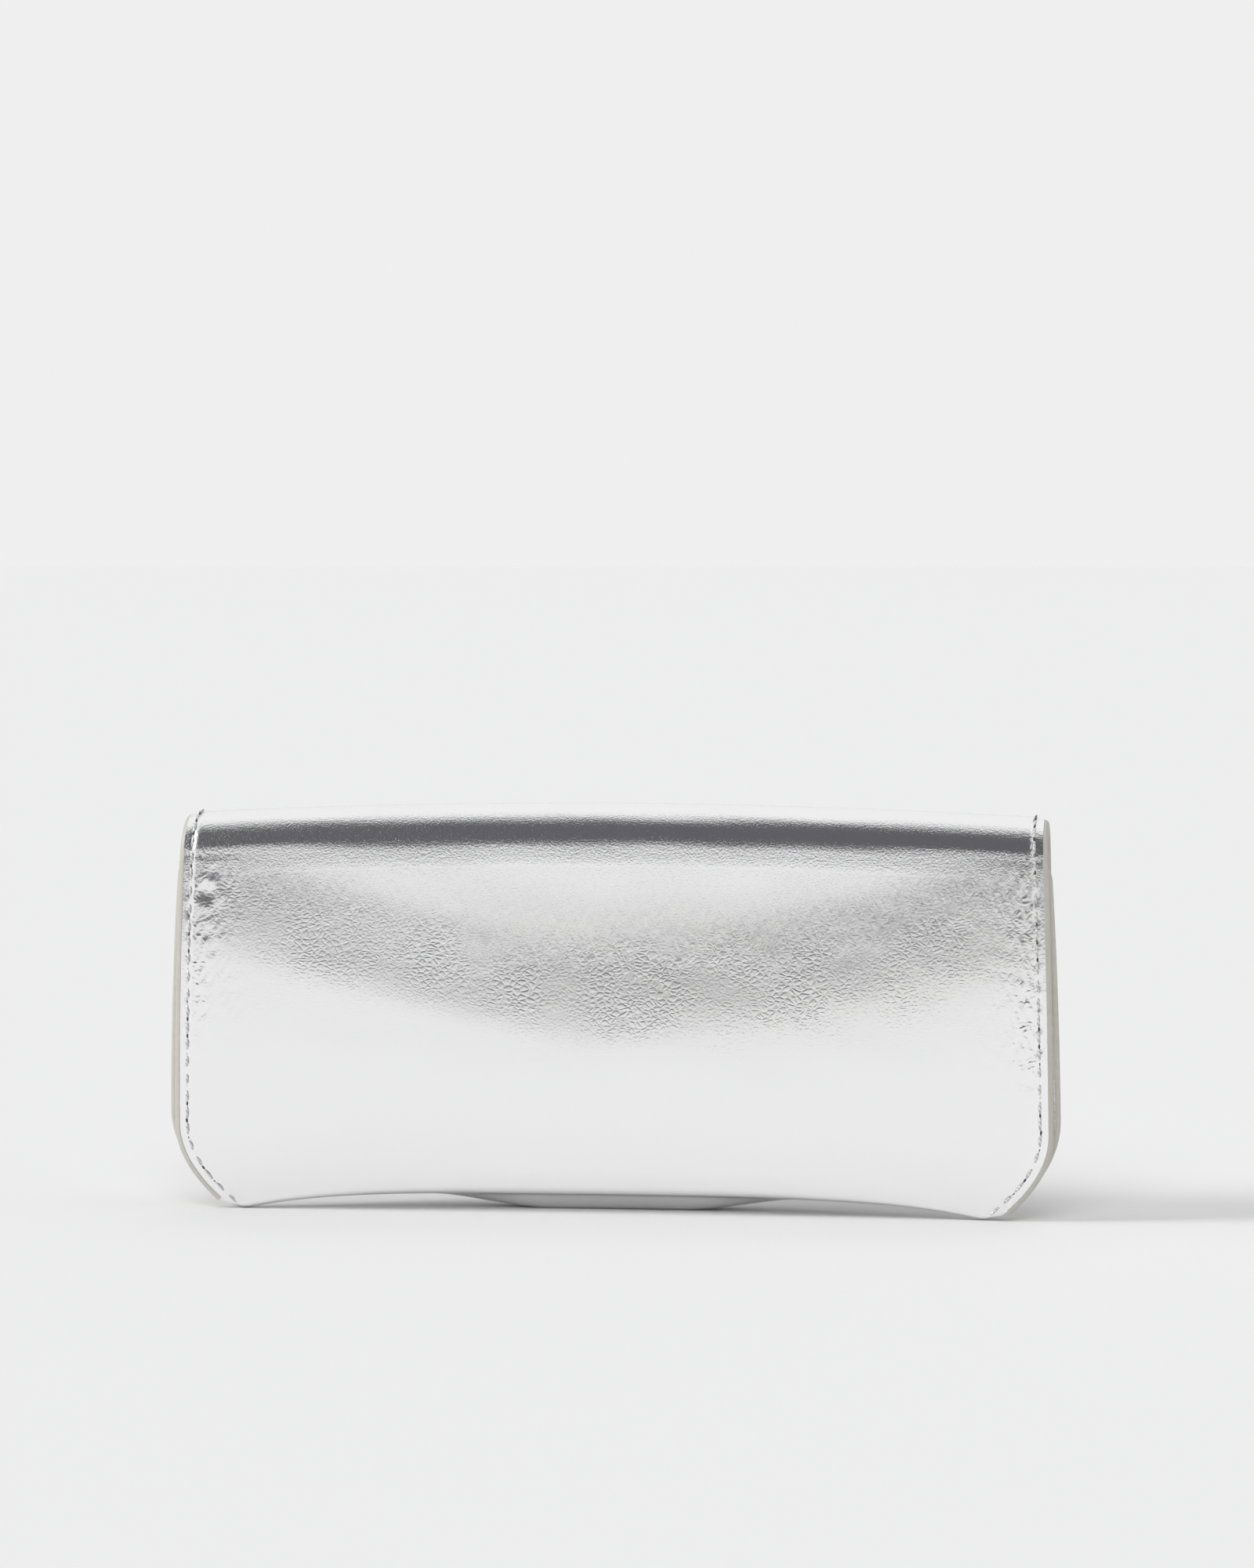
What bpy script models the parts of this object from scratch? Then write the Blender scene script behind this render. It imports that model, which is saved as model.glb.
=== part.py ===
"""A soft eyeglasses case: a foil-leather pouch whose back panel runs over the top and becomes a flap.

Units are metres, +Z is up and the case stands on its bottom fold. X runs across the width. The back panel
faces -Y and the flap closes over the front panel, on the +Y side. The origin is on the floor, under the
middle of the closed case.

Every layer follows one outer skin, skin(u, s). u runs across the width, from -1 at one cut edge to 1 at
the other, and s runs along the leather:
    0 to 1  front panel, from the mouth down        3 to 4  rolled fold over the top
    1 to 2  bottom fold                             4 to 5  flap, down to its free edge
    2 to 3  back panel, from the bottom up
"""

import math

import bmesh
import bpy
from mathutils import Matrix, Vector

# Overall size
HEIGHT = 0.0815  # floor to the crest of the rolled fold
CREST_RISE = 0.0026  # how far the fold stands higher in the middle than at the sides
ROLL_RADIUS = 0.0085  # outer radius of the rolled fold
ROLL_SWEEP = math.radians(145)  # how far the leather turns before it runs straight on as the flap
BACK_SLOPE = 0.0175  # the back panel draws in at this slope below the roll
BACK_SWELL = 0.0008  # it comes out again by this much over a U-shaped shoulder
SWELL_HEIGHT = (0.045, 0.057)  # height of the shoulder in the middle, and SWELL_SIDE from it
SWELL_SIDE = 0.062
SWELL_HALF = 0.012  # half the height that the shoulder takes
LEAN_HEIGHT = 0.034  # below this the panel leans further in
LEAN = 1.7  # curvature of that lean, per metre
FRONT_DEPTH = 0.0175  # front panel's furthest reach from the roll's centre line
BULGE_HEIGHT = 0.034  # height of that furthest reach
FLAP_DEPTH = 0.0223  # the same for the flap
FLAP_SIDE_DEPTH = 0.0110  # and for the flap's side edges
FLAP_END = 0.0260  # height of the flap's free edge
MOUTH_HEIGHT = 0.0705  # height of the front panel's top edge at the sides
MOUTH_DIP = 0.0025  # and how much lower it lies in the middle

# Outline of the panels, as half widths
BACK_HALF = 0.0868  # back panel's cut edge, low down
BACK_TAPER = 0.0015  # how much narrower it is at the top
BACK_CORNER = (0.0105, 0.0170)  # bottom corner's width and height
FRONT_HALF = 0.0881  # front panel's cut edge, low down
FRONT_TAPER = 0.0021
FRONT_CORNER = (0.0124, 0.0200)
FRONT_SHOULDER = 0.0040  # rounding of the front panel's top corners
FLAP_HALF = 0.0853
FLAP_CORNER = 0.0120
EDGE_BEAD = 0.00105  # width of the painted edge beyond the cut leather
EDGE_THICKNESS = 0.0020  # it covers leather and lining together

# Bottom fold
FOOT_HALF = 0.074  # the bottom rests on the floor from here outwards, and arches up inwards
ARCH_RISE = 0.0034  # height of the arch along the back edge
REST_REACH = 0.18  # its front edge also rests in the middle, out to this fraction of the half width
REST_RISE = 0.34  # and rises to the arch over this fraction beyond it
REST_RUN = 0.35  # and this fraction of the way across is level there
SEAM_FLANGE = 0.955  # outside this fraction of the width the two panels lie flat against each other
SEAM_STACK = 0.0043  # thickness of the two panels together along that flange
BACK_FOLD_RADIUS = (0.0020, 0.0055)  # at the seams and in the middle
FRONT_FOLD_RADIUS = (0.0020, 0.0070)

# Layers, as depths below the outer skin
GAP = 0.0003  # clearance between pieces that touch
LEATHER = 0.0010
FOAM = (0.0013, 0.0024)
BOARD = (0.0027, 0.0035)
THIN_LINING = (0.0013, 0.0020)  # where the lining lies straight on the leather
DEEP_LINING = (0.0038, 0.0045)  # where foam and board lie between them
BASE_BOARD = (0.0013, 0.0020)
BASE_LINING = (0.0023, 0.0030)
FLAP_BOARD = (0.0013, 0.0020)
FLAP_FOAM = (0.0023, 0.0031)
FLAP_LINING = (0.0034, 0.0041)
BOARD_REACH = 0.70  # the pouch's boards and foam stop at this fraction of the half width
FLAP_REACH = 0.86  # and the flap's at this one
BASE_REACH = 0.56  # and the bottom's
BASE_LINING_REACH = 0.85  # the bottom's lining stops here, where the fold gets too tight for it
RAMP = 0.08  # the lining comes back up to the leather over this fraction

# Magnets
MAGNET_RADIUS = 0.0050
MAGNET_X = 0.030
MAGNET_HEIGHT = 0.036
MAGNET_THICKNESS = 0.0005
PLATE_THICKNESS = 0.0007

# Stitching
THREAD_RADIUS = 0.00025
STITCH_INSET = 0.0017  # from the cut edge
THREAD_LIFT = 0.00060  # thread's centre line above the leather

DEPTH_BACK = ROLL_RADIUS + THREAD_LIFT + THREAD_RADIUS
CENTRE_SHIFT = (DEPTH_BACK - FLAP_DEPTH) / 2  # puts the origin under the middle of the depth
ROLL_HEIGHT = HEIGHT - ROLL_RADIUS
HINGE_TURN = math.radians(45)  # the fold strip is hinged this far round the roll from each side


def clamp01(value):
    return min(max(value, 0.0), 1.0)


def smooth(value):
    value = clamp01(value)
    return value * value * (3 - 2 * value)


def mix(a, b, t):
    return a + (b - a) * t


def fullness(u, power):
    """1 in the middle, falling to 0 with no slope where the seam flange starts."""
    return (1 - min(1.0, abs(u) / SEAM_FLANGE) ** power) ** 1.35


def corner_drop(z, corner):
    width, height = corner
    return width * clamp01((height - z) / height) ** 2


def back_half(z):
    return BACK_HALF - BACK_TAPER * min(1.0, z / 0.075) ** 2 - corner_drop(z, BACK_CORNER)


def front_half(z):
    shoulder = clamp01((z - MOUTH_HEIGHT + FRONT_SHOULDER) / FRONT_SHOULDER)
    rounding = FRONT_SHOULDER * (1 - math.sqrt(1 - shoulder**2))
    taper = FRONT_TAPER * (max(z, 0.0) / MOUTH_HEIGHT) ** 2.2
    return FRONT_HALF - taper - corner_drop(z, FRONT_CORNER) - 0.6 * rounding


def flap_half(z):
    t = clamp01((FLAP_END + FLAP_CORNER - z) / FLAP_CORNER)
    return FLAP_HALF - FLAP_CORNER * (1 - math.sqrt(1 - t * t))


def arch(u):
    """Height of the bottom's back edge above the floor."""
    x = abs(u) * (BACK_HALF - BACK_CORNER[0])
    return ARCH_RISE * max(0.0, 1 - (x / FOOT_HALF) ** 4)


def front_arch(u):
    """Height of the bottom's front edge: it rests flat in the middle and at both feet."""
    return 0.9 * arch(u) * smooth((abs(u) - REST_REACH) / REST_RISE)


def back_y(u, z):
    onset = 0.006  # the slope comes in over this height, without a crease
    down = max(0.0, roll_height(u) - z)
    drawn = BACK_SLOPE * (down**2 / (2 * onset) if down < onset else down - onset / 2)
    low, high = SWELL_HEIGHT
    shoulder = mix(low, high, (abs(u) * BACK_HALF / SWELL_SIDE) ** 1.5)
    swell = BACK_SWELL * smooth((shoulder + SWELL_HALF - z) / (2 * SWELL_HALF))
    lean = LEAN * max(0.0, LEAN_HEIGHT - z) ** 2
    return -ROLL_RADIUS + drawn - swell + lean


def front_y(u, z):
    above, below = 8.7, 6.0  # curvature of the profile over and under its furthest reach, per metre
    bend = above if z > BULGE_HEIGHT else below
    middle = FRONT_DEPTH - bend * (z - BULGE_HEIGHT) ** 2
    return mix(back_y(1, z) + SEAM_STACK, middle, fullness(u, 3))


def roll_height(u):
    return ROLL_HEIGHT - CREST_RISE * u * u


def front_panel(u, t):
    top = MOUTH_HEIGHT - MOUTH_DIP * (1 - u * u)
    bottom = front_arch(u) + mix(*FRONT_FOLD_RADIUS, fullness(u, 3))
    z = mix(top, bottom, t)
    return u * front_half(z), front_y(u, z), z


def bottom_fold(u, t):
    """A quarter turn off the front panel, a nearly flat run, and a quarter turn on to the back panel."""
    front_radius = mix(*FRONT_FOLD_RADIUS, fullness(u, 3))
    back_radius = mix(*BACK_FOLD_RADIUS, fullness(u, 2))
    front_low, back_low = front_arch(u), arch(u)
    start = front_y(u, front_low + front_radius)
    end = back_y(u, back_low + back_radius)
    if t < 0.4:
        turn = t / 0.4 * math.pi / 2
        y = start - front_radius * (1 - math.cos(turn))
        z = front_low + front_radius * (1 - math.sin(turn))
    elif t > 0.7:
        turn = (1 - t) / 0.3 * math.pi / 2
        y = end + back_radius * (1 - math.cos(turn))
        z = back_low + back_radius * (1 - math.sin(turn))
    else:
        run = (t - 0.4) / 0.3
        y = mix(start - front_radius, end + back_radius, run)
        z = mix(front_low, back_low, smooth((run - REST_RUN) / (1 - REST_RUN)))
    return u * mix(front_half(z), back_half(z), smooth(t)), y, z


def back_panel(u, t):
    z = mix(arch(u) + mix(*BACK_FOLD_RADIUS, fullness(u, 2)), roll_height(u), t)
    return u * back_half(z), back_y(u, z), z


def rolled_fold(u, t):
    turn = t * ROLL_SWEEP
    y = -ROLL_RADIUS * math.cos(turn)
    z = roll_height(u) + ROLL_RADIUS * math.sin(turn)
    return u * back_half(z), y, z


def flap_run(u, t):
    top = roll_height(u) + ROLL_RADIUS * math.sin(ROLL_SWEEP)
    start = -ROLL_RADIUS * math.cos(ROLL_SWEEP)
    run = top - BULGE_HEIGHT
    z = mix(top, FLAP_END, t)
    reach = mix(FLAP_SIDE_DEPTH, FLAP_DEPTH, fullness(u * flap_half(z) / FLAP_HALF, 2.5)) - start
    power = run / math.tan(ROLL_SWEEP - math.pi / 2) / reach  # leaves the roll without a crease
    y = start + reach * (1 - abs((z - BULGE_HEIGHT) / run) ** power)
    return u * flap_half(z), y, z


PARTS_OF_SKIN = (front_panel, bottom_fold, back_panel, rolled_fold, flap_run)


def skin(u, s, outward=0.0):
    """Point of the outer skin. outward moves it sideways, past the cut edge."""
    part = min(int(max(s, 0.0)), 4)
    x, y, z = PARTS_OF_SKIN[part](u, s - part)
    return Vector((x + math.copysign(outward, u), y + CENTRE_SHIFT, z))


def normal(u, s, step=1e-4):
    low, high = max(s - step * 20, 0.0), min(s + step * 20, 5.0)
    across = skin(min(u + step, 1.0), s) - skin(max(u - step, -1.0), s)
    along = skin(u, high) - skin(u, low)
    return across.cross(along).normalized()


def below(u, s, depth, outward=0.0):
    return skin(u, s, outward) - normal(u, s) * depth


def spread(low, high, count):
    return [mix(low, high, i / (count - 1)) for i in range(count)]


def material(name, colour, roughness, metallic=0.0):
    found = bpy.data.materials.new(name)
    found.use_nodes = True
    shader = found.node_tree.nodes["Principled BSDF"]
    shader.inputs["Base Color"].default_value = (*colour, 1)
    shader.inputs["Roughness"].default_value = roughness
    shader.inputs["Metallic"].default_value = metallic
    return found


def add_object(name, mesh, finish):
    mesh.materials.append(finish)
    for polygon in mesh.polygons:
        polygon.use_smooth = True
    mesh.set_sharp_from_angle(angle=math.radians(40))
    made = bpy.data.objects.new(name, mesh)
    bpy.context.scene.collection.objects.link(made)
    return made


def grid_solid(name, finish, outer, inner):
    """A closed plate between two grids of points: rows along s, and points along u from -X to +X."""
    shape = bmesh.new()
    faces_of = []
    for rows in (outer, inner):
        faces_of.append([[shape.verts.new(point) for point in row] for row in rows])
    top, under = faces_of
    rows, columns = len(top), len(top[0])
    for i in range(rows - 1):
        for j in range(columns - 1):
            for grid in (top, under):
                a, b = grid[i][j], grid[i][j + 1]
                c, d = grid[i + 1][j + 1], grid[i + 1][j]
                for ring in ((a, b, c), (a, c, d)):
                    shape.faces.new(ring if grid is top else ring[::-1])
    border = [(i, 0) for i in range(rows)] + [(rows - 1, j) for j in range(1, columns)]
    border += [(i, columns - 1) for i in range(rows - 2, -1, -1)]
    border += [(0, j) for j in range(columns - 2, 0, -1)]
    for (i, j), (k, m) in zip(border, border[1:] + border[:1]):
        shape.faces.new((top[i][j], top[k][m], under[k][m], under[i][j]))
    mesh = bpy.data.meshes.new(name)
    shape.to_mesh(mesh)
    shape.free()
    return add_object(name, mesh, finish)


def layer(name, finish, us, ss, depths):
    """A layer of the wall: depths is (outer, inner), or a function of u and s that gives both."""
    find = depths if callable(depths) else lambda u, s: depths
    outer = [[below(u, s, find(u, s)[0]) for u in us] for s in ss]
    inner = [[below(u, s, find(u, s)[1]) for u in us] for s in ss]
    return grid_solid(name, finish, outer, inner)


def bead(name, finish, side, ss, thickness):
    """Painted edge that closes the cut edge of a panel: a strip beside it, as thick as its layers."""
    offsets = (GAP, EDGE_BEAD)[::side]
    outer = [[below(side, s, 0, offset) for offset in offsets] for s in ss]
    inner = [[below(side, s, thickness, offset) for offset in offsets] for s in ss]
    return grid_solid(name, finish, outer, inner)


def thread(name, finish, route):
    """A row of stitches as one thread, on a list of (u, s)."""
    curve = bpy.data.curves.new(name, "CURVE")
    curve.dimensions = "3D"
    curve.bevel_depth = THREAD_RADIUS
    curve.bevel_resolution = 0
    curve.use_fill_caps = True
    spline = curve.splines.new("POLY")
    spline.points.add(len(route) - 1)
    for point, (u, s) in zip(spline.points, route):
        point.co = (*below(u, s, -THREAD_LIFT), 1)
    curve.materials.append(finish)
    made = bpy.data.objects.new(name, curve)
    bpy.context.scene.collection.objects.link(made)
    return made


def disc(name, finish, u, s, depth, radius, thickness, sides=24):
    """A flat round plate lying in the wall, facing along the skin's normal."""
    shape = bmesh.new()
    bmesh.ops.create_cone(
        shape, cap_ends=True, segments=sides, radius1=radius, radius2=radius, depth=thickness
    )
    mesh = bpy.data.meshes.new(name)
    shape.to_mesh(mesh)
    shape.free()
    made = add_object(name, mesh, finish)
    facing = normal(u, s).to_track_quat("Z", "Y").to_matrix().to_4x4()
    made.matrix_world = Matrix.Translation(below(u, s, depth)) @ facing
    return made


def cut_hole(target, name, u, s, depth, radius):
    cutter = disc(name, target.data.materials[0], u, s, depth, radius, 0.004)
    cutter.hide_render = True
    cutter.display_type = "WIRE"
    modifier = target.modifiers.new(name, "BOOLEAN")
    modifier.operation = "DIFFERENCE"
    modifier.object = cutter


def lining_depths(start, end, deep, reach):
    """Lining that lies on the leather near the seams and outside start to end, and deeper between them."""

    def find(u, s):
        lift = smooth((reach + 0.02 + RAMP - abs(u)) / RAMP)
        lift *= smooth((s - start) / 0.06) * smooth((end - s) / 0.06)
        return tuple(mix(a, b, lift) for a, b in zip(THIN_LINING, deep))

    return find


def at_height(part, wanted, u=0.0):
    """s on one part of the skin where it lies at this height."""
    low, high = part + 0.001, part + 0.999
    falling = skin(u, low).z > skin(u, high).z
    for _ in range(40):
        middle = (low + high) / 2
        if (skin(u, middle).z > wanted) == falling:
            low = middle
        else:
            high = middle
    return low


def hinge_empty(name, turn):
    """Empty on a hinge line, which lies on the outer skin at the middle of the width."""
    y = -ROLL_RADIUS * math.cos(turn) + CENTRE_SHIFT
    z = ROLL_HEIGHT + ROLL_RADIUS * math.sin(turn)
    empty = bpy.data.objects.new(name, None)
    bpy.context.scene.collection.objects.link(empty)
    empty.location = (0, y, z)
    return empty


def hang(pieces, parent):
    bpy.context.view_layer.update()
    for piece in pieces:
        place = piece.matrix_world.copy()
        piece.parent = parent
        piece.matrix_parent_inverse = parent.matrix_world.inverted()
        piece.matrix_world = place


for old in list(bpy.data.objects):
    bpy.data.objects.remove(old, do_unlink=True)

foil = material("silver_foil_leather", (0.72, 0.72, 0.73), 0.22, 0.9)
paint = material("edge_paint", (0.62, 0.60, 0.54), 0.45)
cloth = material("lining_microfibre", (0.10, 0.10, 0.11), 0.9)
card = material("stiffening_board", (0.42, 0.36, 0.28), 0.8)
foam = material("padding_foam", (0.75, 0.74, 0.70), 0.9)
steel = material("magnet_nickel", (0.62, 0.62, 0.60), 0.3, 1.0)
yarn = material("sewing_thread", (0.66, 0.66, 0.65), 0.5)

# s of the two hinge cuts, with half the gap on each side
hinge_back = 3 + HINGE_TURN / ROLL_SWEEP
hinge_front = 3 + (math.pi - HINGE_TURN) / ROLL_SWEEP
half_gap = 0.010
back_end = hinge_back - half_gap
fold_ends = (hinge_back + half_gap, hinge_front - half_gap)
flap_start = hinge_front + half_gap

# Columns across the width. All layers of one panel share them, so that their facets stay parallel.
pouch_middle = spread(-BOARD_REACH, BOARD_REACH, 9)
pouch_side = [0.77, 0.83, 0.90, SEAM_FLANGE, 0.985]
pouch_lining = [-u for u in pouch_side[::-1]] + pouch_middle + pouch_side
pouch_full = [-1] + pouch_lining + [1]
base_lining = [u for u in pouch_lining if abs(u) < BASE_LINING_REACH]
base_middle = [u for u in pouch_middle if abs(u) < BOARD_REACH]
flap_middle = spread(-FLAP_REACH, FLAP_REACH, 11)
flap_side = [0.91, SEAM_FLANGE, 0.985]
flap_lining = [-u for u in flap_side[::-1]] + flap_middle + flap_side
flap_full = [-1] + flap_lining + [1]

# Rows along the leather, close together in the folds and at the rounded corners
front_rows = [0, 0.05, 0.12, 0.25, 0.40, 0.55, 0.70, 0.84, 0.94, 0.995]
base_turns = spread(1.13, 1.4, 3) + [1.5, 1.6] + spread(1.7, 1.9, 3)
back_rows = [2.005, 2.06, 2.14, 2.26, 2.42, 2.60, 2.84, 2.97, 3.15, back_end]
fold_rows = spread(*fold_ends, 7)
flap_rows = [flap_start, 4.03, 4.12, 4.18, 4.33, 4.50, 4.66, 4.80, 4.91, 4.96, 5]
front_board_rows = [s for s in front_rows if 0.1 < s < 0.95]
back_board_rows = [s for s in back_rows if 2.05 < s < 2.9]
flap_board_rows = [s for s in flap_rows if 4.15 < s < 4.95]

# Pouch: outer leather
layer("back_leather", foil, pouch_full, back_rows, (0, LEATHER))
layer("base_leather", foil, pouch_full, [1.003] + base_turns + [1.995], (0, LEATHER))
layer("front_leather", foil, pouch_full, front_rows, (0, LEATHER))

# Pouch: padding and boards
layer("back_foam", foam, pouch_middle, back_board_rows, FOAM)
layer("back_board", card, pouch_middle, back_board_rows, BOARD)
front_foam = layer("front_foam", foam, pouch_middle, front_board_rows, FOAM)
layer("front_board", card, pouch_middle, front_board_rows, BOARD)
layer("base_board", card, base_middle, [1.265, 1.4, 1.5, 1.6, 1.7, 1.8], BASE_BOARD)

# Pouch: lining
back_depths = lining_depths(1.98, 2.96, DEEP_LINING, BOARD_REACH)
base_depths = lining_depths(1.06, 1.94, BASE_LINING, BASE_REACH)
front_depths = lining_depths(0.04, 1.01, DEEP_LINING, BOARD_REACH)
layer("back_lining", cloth, pouch_lining, back_rows, back_depths)
layer("base_lining", cloth, base_lining, [1.03] + base_turns + [1.97], base_depths)
layer("front_lining", cloth, pouch_lining, front_rows, front_depths)

# Pouch: painted edges and stitching
seam_u = 1 - STITCH_INSET / BACK_HALF
for side, word in ((-1, "left"), (1, "right")):
    bead(f"back_edge_paint_{word}", paint, side, back_rows[1:], EDGE_THICKNESS)
    bead(f"front_edge_paint_{word}", paint, side, front_rows[1:-1], EDGE_THICKNESS)
    seam = [(side * seam_u, s) for s in spread(2.03, back_end, 18)]
    thread(f"side_stitching_{word}", yarn, seam)
mouth_s = STITCH_INSET / (MOUTH_HEIGHT - FRONT_FOLD_RADIUS[1])
thread("mouth_stitching", yarn, [(u, mouth_s) for u in spread(-0.93, 0.93, 21)])

# Fold strip between the two hinge lines
fold_pieces = [
    layer("fold_leather", foil, pouch_full, fold_rows, (0, LEATHER)),
    layer("fold_lining", cloth, pouch_lining, fold_rows, THIN_LINING),
]
for side, word in ((-1, "left"), (1, "right")):
    seam = [(side * seam_u, s) for s in fold_rows]
    fold_pieces.append(bead(f"fold_edge_paint_{word}", paint, side, fold_rows, EDGE_THICKNESS))
    fold_pieces.append(thread(f"fold_stitching_{word}", yarn, seam))

# Flap
flap_depths = lining_depths(4.12, 5.01, FLAP_LINING, FLAP_REACH)
flap_foam = layer("flap_foam", foam, flap_middle, flap_board_rows, FLAP_FOAM)
flap_pieces = [
    layer("flap_leather", foil, flap_full, flap_rows, (0, LEATHER)),
    layer("flap_board", card, flap_middle, flap_board_rows, FLAP_BOARD),
    flap_foam,
    layer("flap_lining", cloth, flap_lining, flap_rows, flap_depths),
]
for side, word in ((-1, "left"), (1, "right")):
    flap_pieces.append(bead(f"flap_edge_paint_{word}", paint, side, flap_rows[:-1], EDGE_THICKNESS))
end_s = 5 - STITCH_INSET / (ROLL_HEIGHT - FLAP_END)
down = [(-seam_u, s) for s in spread(flap_start, end_s, 13)]
along = [(u, end_s) for u in spread(-seam_u, seam_u, 21)[1:-1]]
up = [(-u, s) for u, s in down[::-1]]
flap_pieces.append(thread("flap_stitching", yarn, down + along + up))

# Magnets in the flap and the steel plates that they close on
flap_s = at_height(4, MAGNET_HEIGHT)
front_s = at_height(0, MAGNET_HEIGHT)
flap_depth = sum(FLAP_FOAM) / 2
front_depth = sum(FOAM) / 2
pocket = MAGNET_RADIUS + 2 * GAP
for side, word in ((-1, "left"), (1, "right")):
    u = side * MAGNET_X / FLAP_HALF
    magnet = disc(f"flap_magnet_{word}", steel, u, flap_s, flap_depth, MAGNET_RADIUS, MAGNET_THICKNESS)
    flap_pieces.append(magnet)
    cut_hole(flap_foam, f"magnet_pocket_{word}", u, flap_s, flap_depth, pocket)
    u = side * MAGNET_X / FRONT_HALF
    disc(f"front_steel_plate_{word}", steel, u, front_s, front_depth, MAGNET_RADIUS, PLATE_THICKNESS)
    cut_hole(front_foam, f"plate_pocket_{word}", u, front_s, front_depth, pocket)

# The fold strip turns on the back hinge, and the flap on the front one
fold_axis = hinge_empty("fold_hinge_axis", HINGE_TURN)
flap_axis = hinge_empty("flap_hinge_axis", math.pi - HINGE_TURN)
hang([flap_axis], fold_axis)
hang(fold_pieces, fold_axis)
hang(flap_pieces, flap_axis)
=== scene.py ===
"""Looks of a soft eyeglasses case in silver foil leather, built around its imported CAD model.

Metres, +Z up. The back panel faces -Y and the flap closes on the +Y side. Every soft layer follows one
outer skin, outer_skin(u, s): u runs across the width, from -1 at one cut edge to 1 at the other, and s
along the leather: 0 to 1 front panel, to 2 bottom fold, to 3 back panel, to 4 rolled fold, to 5 flap.
"""

import math

import bpy
import numpy as np
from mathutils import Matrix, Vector


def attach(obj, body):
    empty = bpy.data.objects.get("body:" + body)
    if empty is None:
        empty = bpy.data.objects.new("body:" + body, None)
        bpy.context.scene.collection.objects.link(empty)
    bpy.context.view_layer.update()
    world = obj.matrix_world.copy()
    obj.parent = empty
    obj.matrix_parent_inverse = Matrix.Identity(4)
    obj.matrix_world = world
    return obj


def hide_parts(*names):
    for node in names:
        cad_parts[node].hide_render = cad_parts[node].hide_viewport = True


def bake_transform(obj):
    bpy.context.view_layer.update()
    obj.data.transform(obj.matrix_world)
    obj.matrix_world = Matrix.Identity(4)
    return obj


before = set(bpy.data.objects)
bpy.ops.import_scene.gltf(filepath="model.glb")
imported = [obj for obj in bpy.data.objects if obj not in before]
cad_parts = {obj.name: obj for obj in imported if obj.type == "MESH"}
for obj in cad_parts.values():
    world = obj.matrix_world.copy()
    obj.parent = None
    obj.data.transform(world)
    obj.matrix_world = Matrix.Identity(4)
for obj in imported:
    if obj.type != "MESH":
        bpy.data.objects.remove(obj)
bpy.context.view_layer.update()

# Outer skin, as the CAD part has it
HEIGHT = 0.0815
CREST_RISE = 0.0026
ROLL_RADIUS = 0.0085
ROLL_SWEEP = math.radians(145)
BACK_SLOPE = 0.0175
BACK_SWELL = 0.0008
SWELL_HEIGHT = (0.045, 0.057)
SWELL_SIDE = 0.062
SWELL_HALF = 0.012
LEAN_HEIGHT = 0.034
LEAN = 1.7
FRONT_DEPTH = 0.0175
BULGE_HEIGHT = 0.034
FLAP_DEPTH = 0.0223
FLAP_SIDE_DEPTH = 0.0110
FLAP_END = 0.0260
MOUTH_HEIGHT = 0.0705
MOUTH_DIP = 0.0025
BACK_HALF = 0.0868
BACK_TAPER = 0.0015
BACK_CORNER = (0.0105, 0.0170)
FRONT_HALF = 0.0881
FRONT_TAPER = 0.0021
FRONT_CORNER = (0.0124, 0.0200)
FRONT_SHOULDER = 0.0040
FLAP_HALF = 0.0853
FLAP_CORNER = 0.0120
FOOT_HALF = 0.074
ARCH_RISE = 0.0034
REST_REACH = 0.18
REST_RISE = 0.34
REST_RUN = 0.35
SEAM_FLANGE = 0.955
SEAM_STACK = 0.0043
BACK_FOLD_RADIUS = (0.0020, 0.0055)
FRONT_FOLD_RADIUS = (0.0020, 0.0070)
CENTRE_SHIFT = -0.006475
ROLL_HEIGHT = HEIGHT - ROLL_RADIUS

# Layers and trimmings
LEATHER = 0.0010
LINING = 0.0007
THIN_LINING = 0.0013
DEEP_LINING = 0.0038
BASE_LINING = 0.0021
BASE_BOARD = (0.0013, 0.0020)
BOARD_REACH = 0.55
FLAP_LINING = 0.0034
EDGE_BEAD = 0.00105
EDGE_TOP = 0.00025  # depth of the painted edge's upper rim under the skin
EDGE_THICKNESS = 0.0018
STITCH_INSET = 0.0017
STITCH_PITCH = 0.0034

# Lengths along the leather, near enough to place rows and patterns
PER_PANEL = 0.055  # for one step of s, on average
FRONT_LENGTH = 0.061
FLAP_LENGTH = 0.056

# Where one skin piece ends and the next begins, along s
SPLIT_BASE = 1.55
SPLIT_ROLL = 3.62


def clamp01(value):
    return np.clip(value, 0.0, 1.0)


def smooth(value):
    value = clamp01(value)
    return value * value * (3 - 2 * value)


def mix(a, b, t):
    return a + (b - a) * t


def fullness(u, power):
    return (1 - np.minimum(1.0, np.abs(u) / SEAM_FLANGE) ** power) ** 1.35


def corner_drop(z, corner):
    return corner[0] * clamp01((corner[1] - z) / corner[1]) ** 2


def back_half(z):
    return BACK_HALF - BACK_TAPER * np.minimum(1.0, z / 0.075) ** 2 - corner_drop(z, BACK_CORNER)


def front_half(z):
    shoulder = clamp01((z - MOUTH_HEIGHT + FRONT_SHOULDER) / FRONT_SHOULDER)
    rounding = FRONT_SHOULDER * (1 - np.sqrt(1 - shoulder**2))
    taper = FRONT_TAPER * (np.maximum(z, 0.0) / MOUTH_HEIGHT) ** 2.2
    return FRONT_HALF - taper - corner_drop(z, FRONT_CORNER) - 0.6 * rounding


def flap_half(z):
    t = clamp01((FLAP_END + FLAP_CORNER - z) / FLAP_CORNER)
    return FLAP_HALF - FLAP_CORNER * (1 - np.sqrt(1 - t * t))


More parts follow.
